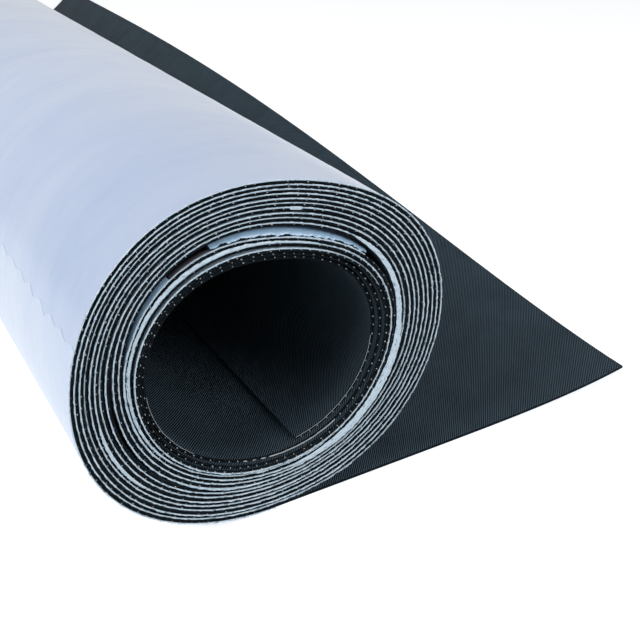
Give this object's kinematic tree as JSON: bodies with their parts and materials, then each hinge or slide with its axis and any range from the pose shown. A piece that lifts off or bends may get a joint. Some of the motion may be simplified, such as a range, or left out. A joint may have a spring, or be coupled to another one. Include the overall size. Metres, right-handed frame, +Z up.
{
  "type": "roll of rubber roofing membrane",
  "caption": "Roll of black rubber roofing sheet wound without a core, pale blue peel-off film outside, its outer end unrolled as a short curling tail on the floor.",
  "frame": {"origin": "on the floor, under the middle of the roll and its tail together", "axes": "+Z up, the roll's axis along Y with the near end at -Y, the tail reaching to +X"},
  "size_m": [0.3673, 1.206, 0.1888],
  "materials": {
    "rubber": "matte, finely ribbed",
    "film": "milky, half gloss, finely wrinkled"
  },
  "bodies": {
    "root": {"membrane": "rubber", "release_film": "film", "tail_film": "film"}
  },
  "joints": []
}
